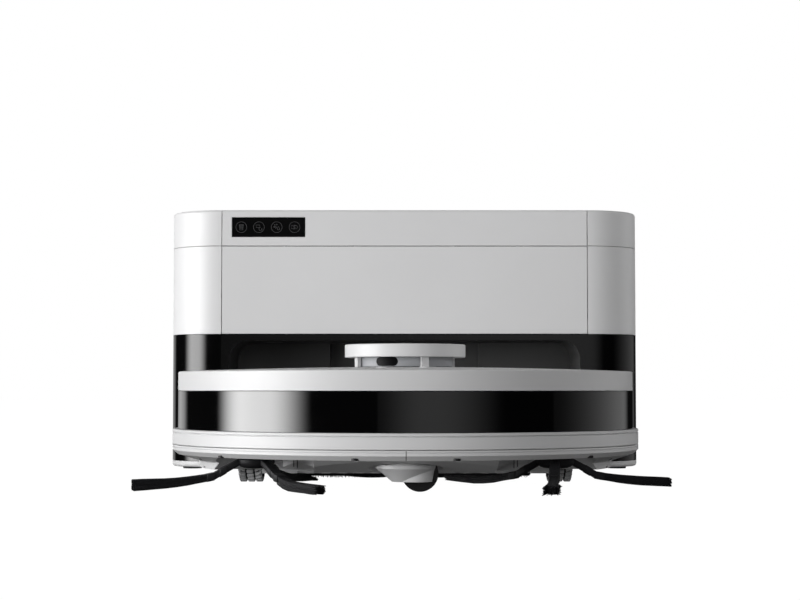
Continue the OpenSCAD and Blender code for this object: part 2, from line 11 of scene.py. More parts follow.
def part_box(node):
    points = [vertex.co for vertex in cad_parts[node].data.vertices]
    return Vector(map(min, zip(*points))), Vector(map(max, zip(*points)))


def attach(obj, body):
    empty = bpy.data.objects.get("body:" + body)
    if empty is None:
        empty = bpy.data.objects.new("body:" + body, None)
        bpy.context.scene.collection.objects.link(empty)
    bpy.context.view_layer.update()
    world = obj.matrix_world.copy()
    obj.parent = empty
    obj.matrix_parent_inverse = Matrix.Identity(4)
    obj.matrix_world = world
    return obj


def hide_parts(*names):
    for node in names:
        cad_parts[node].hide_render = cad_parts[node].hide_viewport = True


MM = 0.001
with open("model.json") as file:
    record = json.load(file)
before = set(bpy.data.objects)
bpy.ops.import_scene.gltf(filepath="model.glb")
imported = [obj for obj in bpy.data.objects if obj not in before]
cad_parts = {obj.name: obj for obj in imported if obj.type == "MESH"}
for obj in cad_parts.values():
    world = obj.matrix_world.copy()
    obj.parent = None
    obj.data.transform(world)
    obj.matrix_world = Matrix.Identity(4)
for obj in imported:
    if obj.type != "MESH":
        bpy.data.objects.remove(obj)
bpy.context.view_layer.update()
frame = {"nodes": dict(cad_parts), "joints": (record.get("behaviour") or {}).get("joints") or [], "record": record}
nodes = frame["nodes"]
scene = bpy.context.scene
pivots = {j["name"]: Vector(j["pos_m"]) for j in frame["joints"] if "pos_m" in j}
ROBOT = Vector((0, pivots["caster_swivel"].y + 133 * MM, 0))
STATION = Vector((0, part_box("plinth")[0].y, 0))


# ---------------------------------------------------------------- camera and view
# where the camera stands: to the side of the robot's axis, in front of it, above the floor
CAMERA_SIDE, CAMERA_AHEAD, CAMERA_HEIGHT = -0.004, 1.367, 0.0695
CAMERA_LENS = 81.7
CAMERA_TILT = 92.8


def look():
    cam = bpy.data.cameras.new("camera")
    cam.sensor_width = 36
    cam.lens = CAMERA_LENS
    cam.clip_start = 0.05
    obj = bpy.data.objects.new("camera", cam)
    obj.location = (CAMERA_SIDE, ROBOT.y - CAMERA_AHEAD, CAMERA_HEIGHT)
    obj.rotation_euler = (math.radians(CAMERA_TILT), 0, 0)
    scene.collection.objects.link(obj)
    scene.camera = obj
    scene.view_settings.view_transform = "Standard"
    scene.view_settings.look = "None"


# ---------------------------------------------------------------- materials
class Shader:
    """A Principled material with short calls for the nodes around it."""

    def __init__(self, name, colour, roughness, metallic=0.0, specular=0.5):
        self.mat = bpy.data.materials.new(name)
        self.mat.use_nodes = True
        self.tree = self.mat.node_tree
        self.bsdf = self.tree.nodes["Principled BSDF"]
        self.colour = colour
        self.set("Base Color", (*colour, 1))
        self.set("Roughness", roughness)
        self.set("Metallic", metallic)
        self.set("Specular IOR Level", specular)
        self.coords = self.node("ShaderNodeTexCoord").outputs["Object"]
        self.normal = None

    def node(self, kind, **inputs):
        n = self.tree.nodes.new(kind)
        for key, value in inputs.items():
            n.inputs[key.replace("_", " ")].default_value = value
        return n

    def set(self, socket, value):
        self.bsdf.inputs[socket].default_value = value

    def link(self, a, b):
        self.tree.links.new(a, b)

    def noise(self, scale, detail=3.0, stretch=(1, 1, 1), rough=0.5):
        mapping = self.node("ShaderNodeMapping")
        mapping.inputs["Scale"].default_value = stretch
        self.link(self.coords, mapping.inputs["Vector"])
        n = self.node("ShaderNodeTexNoise", Scale=scale, Detail=detail, Roughness=rough)
        self.link(mapping.outputs["Vector"], n.inputs["Vector"])
        return n.outputs["Fac"]

    def ramp(self, fac, low, high, lo_value, hi_value):
        m = self.node("ShaderNodeMapRange")
        limits = {"From Min": low, "From Max": high, "To Min": lo_value, "To Max": hi_value}
        for socket, value in limits.items():
            m.inputs[socket].default_value = value
        self.link(fac, m.inputs["Value"])
        return m.outputs["Result"]

    def vary(self, fac, dark, light):
        """Base colour runs between dark and light times the plain colour."""
        mix = self.node("ShaderNodeMix")
        mix.data_type = "RGBA"
        a, b = [s for s in mix.inputs if s.type == "RGBA"]
        a.default_value = (*[min(1, c * dark) for c in self.colour], 1)
        b.default_value = (*[min(1, c * light) for c in self.colour], 1)
        self.link(fac, mix.inputs["Factor"])
        result = [s for s in mix.outputs if s.type == "RGBA"][0]
        self.link(result, self.bsdf.inputs["Base Color"])

    def rough(self, fac, low, high):
        self.link(self.ramp(fac, 0.3, 0.7, low, high), self.bsdf.inputs["Roughness"])

    def bump(self, height, strength, distance):
        b = self.node("ShaderNodeBump", Strength=strength, Distance=distance)
        self.link(height, b.inputs["Height"])
        if self.normal is not None:
            self.link(self.normal, b.inputs["Normal"])
        self.normal = b.outputs["Normal"]
        self.link(self.normal, self.bsdf.inputs["Normal"])

    def soft_edges(self, radius):
        b = self.node("ShaderNodeBevel", Radius=radius)
        b.samples = 4
        self.normal = b.outputs["Normal"]
        self.link(self.normal, self.bsdf.inputs["Normal"])


def plastic(name, colour, roughness, grain=0.25, edge=0.5 * MM, mottle=0.015, specular=0.45):
    """Moulded plastic: fine spark-eroded grain, slightly uneven gloss, rounded edges."""
    s = Shader(name, colour, roughness, specular=specular)
    s.soft_edges(edge)
    s.vary(s.ramp(s.noise(9, 4), 0.35, 0.65, 0, 1), 1 - mottle, 1 + mottle)
    s.rough(s.noise(70, 3), roughness - 0.04, roughness + 0.05)
    s.bump(s.noise(1700, 2), grain, 0.05 * MM)
    return s


def gloss(name, colour, roughness, specular=0.5, coat=0.0, edge=0.4 * MM):
    """Polished plastic: faint waviness, wiped-on smudges in the gloss, no grain."""
    s = Shader(name, colour, roughness, specular=specular)
    if coat:
        s.set("Coat Weight", coat)
        s.set("Coat Roughness", 0.05)
        s.set("Coat IOR", 1.5)
    s.soft_edges(edge)
    s.vary(s.ramp(s.noise(20, 4), 0.4, 0.6, 0, 1), 0.9, 1.1)
    s.rough(s.noise(45, 5, rough=0.65), roughness, roughness + 0.05)
    s.bump(s.noise(18, 2), 0.05, 0.15 * MM)
    return s


def metal(name, colour, roughness, stretch, scale=260):
    """Drawn or plated metal with fine lines along its length."""
    s = Shader(name, colour, roughness, metallic=1.0)
    s.soft_edges(0.25 * MM)
    lines = s.noise(scale, 4, stretch)
    s.vary(lines, 0.86, 1.1)
    s.rough(lines, roughness - 0.06, roughness + 0.1)
    s.bump(lines, 0.2, 0.03 * MM)
    return s


def fabric(name, colour, scale, strength=0.7):
    """Fibres: a felted tangle of two noises, with sheen."""
    s = Shader(name, colour, 0.95, specular=0.15)
    s.set("Sheen Weight", 0.35)
    s.set("Sheen Roughness", 0.5)
    fibres = s.noise(scale, 5, (1, 1, 2.2), 0.7)
    s.vary(s.ramp(fibres, 0.3, 0.7, 0, 1), 0.72, 1.16)
    s.bump(fibres, strength, 0.4 * MM)
    s.bump(s.noise(scale / 6, 3), strength / 2, 0.8 * MM)
    return s


def make_materials():
    m = {}
    m["white_plastic"] = plastic("white satin plastic", (0.78, 0.78, 0.785), 0.42)
    m["station_white"] = plastic("station white", (0.91, 0.91, 0.915), 0.42)
    m["grey_plastic"] = plastic("grey plastic", (0.42, 0.43, 0.45), 0.5, 0.35)
    m["black_plastic"] = plastic("matt black plastic", (0.022, 0.022, 0.024), 0.46, 0.35, mottle=0.08)
    m["button_plastic"] = plastic("button plastic", (0.74, 0.74, 0.75), 0.36, 0.15, 0.8 * MM)
    m["black_gloss"] = gloss("piano black", (0.0016, 0.0016, 0.0018), 0.05, 0.6, 1.0)
    m["station_gloss"] = gloss("station black", (0.0022, 0.0022, 0.0024), 0.08, 0.65)
    m["bay_black"] = plastic("bay black", (0.085, 0.085, 0.0855), 0.55, 0.3, 0.4 * MM, 0.06, 0.25)
    m["smoked_plastic"] = gloss("smoked plastic", (0.10, 0.11, 0.12), 0.12, 0.5, 0.3, 0.8 * MM)
    m["lens_black"] = plastic("scanner window", (0.004, 0.004, 0.0045), 0.35, 0, 0.3 * MM, 0.05, 0.12)
    # painted shade: near-black for the tyre's body, standing in for the shade in the gaps between the grey tread
    # blocks
    m["tread_gap"] = plastic("tread gap painted shade", (0.03, 0.03, 0.031), 0.8, 0.5, 0.4 * MM, 0.1, 0.2)
    m["display_glass"] = gloss("display glass", (0.002, 0.002, 0.0022), 0.09, 0.25)
    m["circuit_board"] = gloss("circuit board", (0.02, 0.12, 0.06), 0.3)
    m["battery_wrap"] = gloss("battery wrap", (0.035, 0.11, 0.3), 0.26, 0.5, 0.2, 1.0 * MM)
    m["caster_rubber"] = gloss("caster wheel", (0.012, 0.012, 0.013), 0.22)
    m["steel"] = metal("zinc-plated steel", (0.6, 0.61, 0.62), 0.3, (1, 1, 6))
    m["motor_metal"] = metal("motor can", (0.42, 0.43, 0.44), 0.34, (1, 6, 6))
    m["contact_metal"] = metal("charging contact", (0.68, 0.64, 0.55), 0.24, (6, 1, 1))
    m["foot_rubber"] = plastic("foot rubber", (0.02, 0.02, 0.02), 0.72, 0.6)
    m["wheel_rubber"] = plastic("tread rubber", (0.66, 0.66, 0.67), 0.72, 0.7, 0.4 * MM, 0.1, 0.3)
    m["brush_bristle"] = plastic("bristle", (0.016, 0.016, 0.018), 0.42, 0.2, 0.3 * MM, 0.25)
    m["brush_rubber"] = plastic("brush rubber", (0.020, 0.020, 0.022), 0.5, 0.4, 0.6 * MM, 0.1)
    m["roller_bristle"] = plastic("roller bristle", (0.03, 0.03, 0.032), 0.5, 0.2, 0.2 * MM, 0.25)
    m["filter_paper"] = fabric("filter paper", (0.78, 0.76, 0.7), 1400, 0.3)
    m["bag_paper"] = fabric("bag paper", (0.7, 0.67, 0.6), 900, 0.4)
    m["mop_fabric"] = fabric("mop cloth", (0.22, 0.28, 0.42), 700)
    m["icon_ink"] = plastic("icon ink", (0.085, 0.085, 0.088), 0.5, 0, 0.05 * MM)
    # painted shade: a dark colour for thin strips standing in for the shade in gaps at clips and parting lines
    m["groove"] = plastic("painted gap shade", (0.05, 0.05, 0.052), 0.7, 0, 0.05 * MM)
    return {k: s.mat for k, s in m.items()}


MAT = make_materials()


def paint_frame():
    """Every CAD node gets the material of its slot."""
    for part in frame["record"]["subparts"]:
        obj = nodes[part["node"]]
        obj.data.materials.clear()
        obj.data.materials.append(MAT[part["material_slot"]])
        for p in obj.data.polygons:
            p.material_index = 0
    for name in ("lid", "lid_front_strip", "rear_cap", "upper_housing", "front_panel"):
        nodes[name].data.materials[0] = MAT["station_white"]
    nodes["lidar_windows"].data.materials[0] = MAT["lens_black"]
    paint_station()


# the parking bay in millimetres from the station's front: half width, depths, height
BAY_HALF, BAY_FRONT, BAY_BACK, BAY_TOP = 153.5, 0.5, 104, 113.5


def paint_station():
    """The station's black moulding is polished outside and matt inside the parking bay."""
    mesh = nodes["lower_housing"].data
    mesh.materials[0] = MAT["station_gloss"]
    mesh.materials.append(MAT["bay_black"])
    for p in mesh.polygons:
        c = (p.center - STATION) / MM
        if abs(c.x) < BAY_HALF and BAY_FRONT < c.y < BAY_BACK and c.z < BAY_TOP:
            p.material_index = 1


# ---------------------------------------------------------------- mesh helpers
class Form:
    """Collects points and faces in millimetres and turns them into one object."""

    def __init__(self):
        self.points, self.faces, self.mats = [], [], []

    def add(self, points, faces, mat=0):
        base = len(self.points)
        self.points += [tuple(p) for p in points]
        self.faces += [[base + i for i in f] for f in faces]
        self.mats += [mat] * len(faces)

    def rings(self, rings, mat=0, closed=True, caps=True):
        """Skin between rings of equal length."""
        n = len(rings[0])
        faces = []
        for i in range(len(rings) - 1):
            for k in range(n if closed else n - 1):
                a, b = i * n + k, i * n + (k + 1) % n
                faces.append([a, b, b + n, a + n])
        if caps and closed:
            faces.append(list(range(n))[::-1])
            faces.append([(len(rings) - 1) * n + k for k in range(n)])
        self.add([p for r in rings for p in r], faces, mat)

    def lathe(self, profile, axis="Z", segments=48, mat=0):
        """Profile of (radius, height) points turned round an axis through the origin."""
        rings = []
        for r, h in profile:
            ring = []
            for k in range(segments):
                a = 2 * math.pi * k / segments
                u, v = r * math.cos(a), r * math.sin(a)
                p = (u, v, h) if axis == "Z" else (h, u, v) if axis == "X" else (v, h, u)
                ring.append(Vector(p))
            rings.append(ring)
        self.rings(rings, mat)

    def tube(self, path, radii, sides=8, mat=0):
        """Tube along a path, with one radius or one for each point."""
        rings = []
        for i, p in enumerate(path):
            p = Vector(p)
            ahead = Vector(path[min(i + 1, len(path) - 1)]) - Vector(path[max(i - 1, 0)])
            side = Vector((-ahead.y, ahead.x, 0))
            side = side.normalized() if side.length > 1e-6 else Vector((1, 0, 0))
            up = ahead.normalized().cross(side) * -1
            r = radii[i] if isinstance(radii, (list, tuple)) else radii
            ring = []
            for k in range(sides):
                a = 2 * math.pi * k / sides
                ring.append(p + side * r * math.cos(a) + up * r * math.sin(a))
            rings.append(ring)
        self.rings(rings, mat)

    def brick(self, low, high, mat=0, chamfer=0.0):
        """Box with its edges taken off."""
        c = chamfer
        levels = [(low[2], 0), (high[2], 0)]
        if c:
            levels = [(low[2], c), (low[2] + c, 0), (high[2] - c, 0), (high[2], c)]
        rings = []
        for z, inset in levels:
            x0, y0, x1, y1 = low[0] + inset, low[1] + inset, high[0] - inset, high[1] - inset
            if c:
                ring = [(x0 + c, y0), (x1 - c, y0), (x1, y0 + c), (x1, y1 - c),
                        (x1 - c, y1), (x0 + c, y1), (x0, y1 - c), (x0, y0 + c)]
            else:
                ring = [(x0, y0), (x1, y0), (x1, y1), (x0, y1)]
            rings.append([Vector((x, y, z)) for x, y in ring])
        self.rings(rings, mat)

    def build(self, name, body, mats, origin=Vector(), smooth=35):
        mesh = bpy.data.meshes.new(name)
        mesh.from_pydata([Vector(p) * MM + origin for p in self.points], [], self.faces)
        for m in mats:
            mesh.materials.append(m)
        for p, index in zip(mesh.polygons, self.mats):
            p.material_index = index
        bm = bmesh.new()
        bm.from_mesh(mesh)
        bmesh.ops.recalc_face_normals(bm, faces=bm.faces)
        bm.to_mesh(mesh)
        bm.free()
        obj = bpy.data.objects.new(name, mesh)
        scene.collection.objects.link(obj)
        if smooth:
            mesh.shade_smooth()
            mesh.set_sharp_from_angle(angle=math.radians(smooth))
        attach(obj, body)
        return obj


def turned(angle):
    return Matrix.Rotation(math.radians(angle), 3, "Z")


def lerp(a, b, t):
    return a + (b - a) * t


# ---------------------------------------------------------------- side brushes
REACH = 86.5
# radius, lowest and highest point of an arm's bristles, before the tip
FAN = [(33, 6.1, 11.2), (39, 5.2, 10.4), (48, 3.5, 9.4), (60, 1.9, 8.4)]
LOW_FAN = [(33, 6.1, 11.2), (39, 5.2, 10.2), (48, 3.6, 8.3), (60, 2.4, 8.2), (72, 2.4, 7.6), (80, 2.6, 4.6)]
REAR_FAN = [(33, 6.1, 11.2), (39, 5.2, 10.2), (48, 3.2, 8.4), (60, 2.0, 8.3), (68, 2.6, 8.2)]
FRONT_FAN = [(33, 4.9, 11.0), (39, 2.6, 9.3), (46, 0.8, 7.6), (60, 0.4, 6.9)]


# radius, underside, top and width factor along the moulded sleeve of an arm
SLEEVE = [(8, 17.6, 21.1, 1), (12.6, 16.5, 20.9, 1), (21.6, 11.6, 16.4, 1), (21.8, 11.2, 16.5, 1.12),
          (26.3, 8.7, 14.1, 1.12), (26.5, 8.9, 13.7, 1), (30, 6.9, 11.9, 1), (30.2, 6.6, 12.0, 1.12),
          (35.2, 5.6, 11.1, 1.12), (35.4, 5.9, 10.8, 1)]


def between(table, r):
    """Values of a table of (radius, value, value ...) at radius r."""
    for a, b in zip(table, table[1:]):
        if r <= b[0]:
            break
    t = max(0, min(1.2, (r - a[0]) / (b[0] - a[0])))
    return [lerp(p, q, t) for p, q in zip(a[1:], b[1:])]


def ribbon(form, turn, steps, half_width, mat=0):
    """Rounded bar along an arm: steps of (radius, lowest, highest, width factor)."""
    rings = []
    for r, low, high, wide in steps:
        w, c = half_width * wide, 0.8 * min(1, wide)
        outline = [(-w, low + c), (-w, high - c), (-w + c * 0.3, high - c * 0.3),
                   (-w + c, high), (w - c, high), (w - c * 0.3, high - c * 0.3),
                   (w, high - c), (w, low + c), (w - c * 0.3, low + c * 0.3),
                   (w - c, low), (-w + c, low), (-w + c * 0.3, low + c * 0.3)]
        rings.append([turn @ Vector((r, x, z)) for x, z in outline])
    form.rings(rings, mat)


def side_brush(side, arms, seed):
    """Moulded hub with three sleeves, and three fans of nylon bristles."""
    hub = pivots[side + "_brush_spin"].copy()
    hub.z = 0
    body = side + "_side_brush"
    rng = random.Random(seed)
    form = Form()
    form.lathe([(0, 15.6), (2.2, 15.6), (2.6, 14.5), (5.0, 14.4), (8.0, 14.7), (10.6, 15.6), (12.3, 16.9),
                (13.0, 18.4), (13.0, 20.4), (12.4, 21.2), (4, 21.4), (4, 24), (0, 24)], segments=64)
    tufts = Form()
    for arm in arms:
        turn = turned(arm["angle"])
        ribbon(form, turn, SLEEVE, 3.3)
        tip_low, tip_high = arm["tip"]
        table = arm.get("fan", FAN) + [(REACH, tip_low, tip_high)]
        for i in range(arm["count"]):
            v = (i + rng.random()) / arm["count"]
            side_way = rng.choice((-1, 1)) * rng.uniform(0.75, 1) if i % 3 else rng.uniform(-1, 1)
            end = REACH + rng.uniform(-arm["fray"], 0.4)
            stray = rng.gauss(0, 0.12 + arm["fray"] * 0.12)
            path = []
            for k in range(8):
                t = k / 7
                r = lerp(34, end, t)
                low, high = between(table, r)
                z = lerp(low + 0.3, high - 0.3, v) + stray * t ** 4
                wide = lerp(2.9, arm["splay"], t ** 5)
                path.append(turn @ Vector((r, side_way * wide + stray * 0.8 * t ** 4, max(z, 0.3))))
            tufts.tube(path, [0.38] * 7 + [0.2], 4)
        last = REACH - 1.2 - arm["fray"] * 0.75
        core = []
        for k in range(9):
            r = lerp(34, last, k / 8)
            low, high = between(table, r)
            core.append((r, low + 0.2, high - 0.2, 1))
        ribbon(tufts, turn, core, 2.7)
    low = form.build("side_brush_%s_hub" % side, body, [MAT["brush_rubber"]], hub)
    tufts.build("side_brush_%s_bristles" % side, body, [MAT["brush_bristle"]], hub, 0)
    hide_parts("side_brush_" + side)


# ---------------------------------------------------------------- wheels and roller
TREAD_ROWS, TREAD_BLOCKS = 3, 34


def tyre(side):
    """Drive tyre with three staggered rows of tread blocks."""
    low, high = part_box("tyre_" + side)
    mid = (low + high) / 2
    x0, x1 = low.x / MM, high.x / MM
    form = Form()
    # the tyre's body takes the first, near-black material: painted shade between the grey tread blocks, on the
    # sidewalls too
    form.lathe([(21, x0 + 0.6), (27.0, x0 + 0.3), (27.9, x0 + 1.0), (28.2, x0 + 2), (28.2, x1 - 2),
                (27.9, x1 - 1.0), (27.0, x1 - 0.3), (21, x1 - 0.6)], "X", segments=96)
    rows, pitch = TREAD_ROWS, TREAD_BLOCKS
    width = (x1 - x0) / rows
    for row in range(rows):
        for k in range(pitch):
            middle = 360 / pitch * (k + 0.5 * (row % 2))
            half = 360 / pitch * 0.25
            a = x0 + row * width + 0.55
            b = a + width - 1.1
            skew = (1, 0, -1)[row] * 2.2
            rings = []
            for r, c in ((27.6, 0.0), (29.5, 0.1), (30.0, 0.5)):
                ring = []
                for x, g, s in ((a + c, -1, -skew), (b - c, -1, skew), (b - c, 1, skew), (a + c, 1, -skew)):
                    ang = math.radians(middle + g * (half - c * 1.6) + s)
                    ring.append((x, r * math.cos(ang), r * math.sin(ang)))
                rings.append(ring)
            form.rings(rings, 1)
            if row == 1:
                continue
            # a small lug between two blocks of the outer rows
            lug = middle + 180 / pitch
            x = (x0 + 0.2, x0 + 2.4) if row == 0 else (x1 - 2.4, x1 - 0.2)
            rings = []
            for r, c in ((26.6, 0.0), (28.4, 0.1), (28.9, 0.5)):
                ring = []
                for xx, g in ((x[0] + c, -1), (x[1] - c, -1), (x[1] - c, 1), (x[0] + c, 1)):
                    ang = math.radians(lug + g * (1.0 - c))
                    ring.append((xx, r * math.cos(ang), r * math.sin(ang)))
                rings.append(ring)
            form.rings(rings, 1)
    obj = form.build("tyre_%s_tread" % side, side + "_wheel",
                     [MAT["tread_gap"], MAT["wheel_rubber"]], Vector((0, mid.y, mid.z)), 30)
    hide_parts("tyre_" + side)


def wheel_face(side):
    """Spoked cover on the outside of the rim."""
    low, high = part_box("wheel_" + side)
    sign = -1 if side == "left" else 1
    x = (low.x if sign < 0 else high.x) / MM
    form = Form()
    cap = [(0, x + sign * 0.2), (5, x + sign * 0.2), (6, x), (6.4, x - sign * 0.5)]
    form.lathe(cap[::sign * -1], "X", segments=32)
    for k in range(6):
        ang = math.radians(60 * k)
        u = Vector((0, math.cos(ang), math.sin(ang)))
        v = Vector((0, -math.sin(ang), math.cos(ang)))
        rings = []
        for depth, c in ((-0.5, 0), (0.1, 0.2)):
            ring = []
            for r, s in ((7, -1.5 + c), (19 - c, -2.6 + c), (19 - c, 2.6 - c), (7, 1.5 - c)):
                ring.append(u * r + v * s + Vector((x + sign * depth, 0, 0)))
            rings.append(ring)
        form.rings(rings)
    centre = pivots[side + "_wheel_roll"]
    form.build("wheel_%s_spokes" % side, side + "_wheel", [MAT["grey_plastic"]],
               Vector((0, centre.y, centre.z)), 30)


def main_brush():
    """Roller with helical rubber blades and rows of bristle tufts between them."""
    centre = pivots["main_brush_spin"]
    rng = random.Random(11)
    form = Form()
    form.lathe([(0, -100.4), (3.8, -100.4), (4, -100), (4, -92), (17.3, -92), (18.1, -91.2),
                (18.1, 91.2), (17.3, 92), (4, 92), (4, 100), (3.8, 100.4), (0, 100.4)], "X", segments=40)
    span, turn = 89.5, 200
    steps = 46
    for blade in range(3):
        rings = []
        for k in range(steps + 1):
            t = k / steps
            x = lerp(-span, span, t)
            ang = math.radians(120 * blade + turn * abs(t - 0.5))
            u = Vector((0, math.cos(ang), math.sin(ang)))
            v = Vector((0, -math.sin(ang), math.cos(ang)))
            ring = []
            for r, s in ((8, -1.6), (12, -1.0), (18.9, -0.7), (19.5, 0), (18.9, 0.7), (12, 1.0), (8, 1.6)):
                ring.append(Vector((x, 0, 0)) + u * r + v * s)
            rings.append(ring)
        form.rings(rings)
    roller = form.build("main_brush_core", "roller", [MAT["brush_rubber"]],
                        Vector((0, centre.y, centre.z)), 35)
    tufts = Form()
    for row in range(6):
        for k in range(170):
            t = (k + 0.5) / 170
            x = lerp(-span, span, t)
            ang = math.radians(60 * row + 30 + turn * abs(t - 0.5))
            for _ in range(5):
                da = rng.uniform(-0.24, 0.24)
                dx = rng.uniform(-0.7, 0.7)
                end = 19.2 + rng.uniform(-0.6, 0.3)
                path = []
                for r, spread in ((8, 0.6), (14, 1.0), (end, 1.35)):
                    a = ang + da * spread
                    path.append((x + dx * spread, r * math.cos(a), r * math.sin(a)))
                tufts.tube(path, 0.2, 3)
    tufts.build("main_brush_bristles", "roller", [MAT["roller_bristle"]],
                Vector((0, centre.y, centre.z)), 0)
    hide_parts("main_brush")


# ---------------------------------------------------------------- soft pieces
def outline_d(radius, edge, count=64):
    """Points of a circle cut off along y = edge, edge first."""
    start = math.asin(edge / radius)
    points = []
    for k in range(count + 1):
        a = lerp(start, math.pi - start, k / count)
        points.append(Vector((radius * math.cos(a), radius * math.sin(a), 0)))
    for k in range(1, 24):
        points.append(points[count].lerp(points[0], k / 24))
    return points


def mop_pad():
    """Looped cloth pad with a stitched border, on a thin backing."""
    low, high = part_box("mop_pad")
    z0, z1 = low.z / MM, high.z / MM
    edge = (low - ROBOT).y / MM
    rng = random.Random(5)
    bm = bmesh.new()
    ring = outline_d(148.2, edge + 0.8)
    middle = sum(ring, Vector()) / len(ring)
    levels = 26
    grid = []
    for i in range(levels + 1):
        t = i / levels
        grid.append([bm.verts.new(middle.lerp(p, t)) for p in ring] if i else [bm.verts.new(middle)])
    n = len(ring)
    for k in range(n):
        bm.faces.new((grid[0][0], grid[1][k], grid[1][(k + 1) % n]))
        for i in range(1, levels):
            bm.faces.new((grid[i][k], grid[i + 1][k], grid[i + 1][(k + 1) % n], grid[i][(k + 1) % n]))
    bmesh.ops.subdivide_edges(bm, edges=bm.edges, cuts=1, use_grid_fill=True)
    for v in bm.verts:
        p = v.co.copy()
        near = min((p - q).length for q in ring)
        rim = min(1, near / 6)
        channel = 0.5 + 0.5 * math.cos((p.x / 11) * 2 * math.pi)
        loop = rng.uniform(0, 0.35)
        v.co.z = z0 + 0.15 + (1 - rim ** 0.6) * (z1 - z0) * 0.5 + rim * (0.7 * channel ** 6 + loop)
        if 2.2 < near < 3.2:
            v.co.z += 0.5
    shell = bmesh.ops.extrude_face_region(bm, geom=bm.faces[:])
    for v in [g for g in shell["geom"] if isinstance(g, bmesh.types.BMVert)]:
        v.co.z = z1 - 0.1
    for v in bm.verts:
        v.co = v.co * MM + ROBOT
    bmesh.ops.recalc_face_normals(bm, faces=bm.faces)
    mesh = bpy.data.meshes.new("mop_cloth")
    bm.to_mesh(mesh)
    bm.free()
    obj = bpy.data.objects.new("mop_cloth", mesh)
    scene.collection.objects.link(obj)
    mesh.materials.append(MAT["mop_fabric"])
    mesh.shade_smooth()
    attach(obj, "mop")
    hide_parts("mop_pad")


def dust_bag():
    """Non-woven bag: a pillow with a welded seam round its middle."""
    low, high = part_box("dust_bag")
    centre, half = (low + high) / 2, (high - low) / 2
    rng = random.Random(3)
    bm = bmesh.new()
    bmesh.ops.create_cube(bm, size=2)
    bmesh.ops.subdivide_edges(bm, edges=bm.edges, cuts=13, use_grid_fill=True)
    puckers = [rng.uniform(0, 2 * math.pi) for _ in range(8)]
    for v in bm.verts:
        p = v.co.copy()
        x, y, z = p
        pull = (1 - abs(x) ** 5) * (1 - abs(z) ** 5)
        wrinkle = sum(math.sin((3 + i) * x * 1.7 + puckers[i] + (2 + i % 3) * z * 2.1) for i in range(8)) / 8
        y = y * (0.34 + 0.62 * max(pull, 0) ** 0.45) + 0.05 * wrinkle * (1 - abs(y) * 0.3)
        x = x * (0.985 - 0.05 * (1 - abs(p.y)) * (1 - abs(z) ** 2) * 0.4)
        v.co = Vector((x * half.x, max(-1, min(1, y)) * half.y, z * 0.985 * half.z)) + centre
    bmesh.ops.recalc_face_normals(bm, faces=bm.faces)
    mesh = bpy.data.meshes.new("dust_bag_pillow")
    bm.to_mesh(mesh)
    bm.free()
    obj = bpy.data.objects.new("dust_bag_pillow", mesh)
    scene.collection.objects.link(obj)
    mesh.materials.append(MAT["bag_paper"])
    mesh.shade_smooth()
    sub = obj.modifiers.new("round", "SUBSURF")
    sub.levels = sub.render_levels = 1
    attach(obj, "station")
    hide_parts("dust_bag")


def bin_filter():
    """Pleated filter in a thin frame."""
    low, high = (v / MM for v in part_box("bin_filter"))
    form = Form()
    t = 1.6
    for a, b in (((low.x, low.y, low.z), (high.x, high.y, low.z + t)),
                 ((low.x, low.y, high.z - t), (high.x, high.y, high.z)),
                 ((low.x, low.y, low.z + t), (low.x + t, high.y, high.z - t)),
                 ((high.x - t, low.y, low.z + t), (high.x, high.y, high.z - t))):
        form.brick(a, b, 0, 0.3)
    count = 44
    front, back = [], []
    for k in range(2 * count + 1):
        x = lerp(low.x + t, high.x - t, k / (2 * count))
        y = low.y + 1.5 if k % 2 else high.y - 1.5
        front.append((x, y))
        back.append((x, y + (0.35 if k % 2 else -0.35)))
    rings = []
    for z in (low.z + t, high.z - t):
        rings.append([(x, y, z) for x, y in front] + [(x, y, z) for x, y in back[::-1]])
    form.rings(rings, 1)
    obj = form.build("bin_filter_pleats", "bin", [MAT["grey_plastic"], MAT["filter_paper"]],
                     Vector(), 20)
    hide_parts("bin_filter")


# ---------------------------------------------------------------- small visible details
def line_strip(form, points, width, y, depth, closed=False):
    """Flat ribbon in the XZ plane along points, standing depth proud of y."""
    pts = [Vector((p[0], 0, p[1])) for p in points]
    n = len(pts)
    rings = []
    for i in range(n + (1 if closed else 0)):
        p = pts[i % n]
        a = pts[(i - 1) % n] if closed or i else p
        b = pts[(i + 1) % n] if closed or i < n - 1 else p
        along = (b - a).normalized()
        side = Vector((-along.z, 0, along.x)) * width / 2
        rings.append([p - side + Vector((0, y, 0)), p + side + Vector((0, y, 0)),
                      p + side + Vector((0, y - depth, 0)), p - side + Vector((0, y - depth, 0))])
    form.rings(rings, caps=not closed)


def circle(cx, cz, r, n=40, start=0, end=360):
    return [(cx + r * math.cos(math.radians(lerp(start, end, k / n))),
             cz + r * math.sin(math.radians(lerp(start, end, k / n)))) for k in range(n if end - start == 360
                                                                                  else n + 1)]


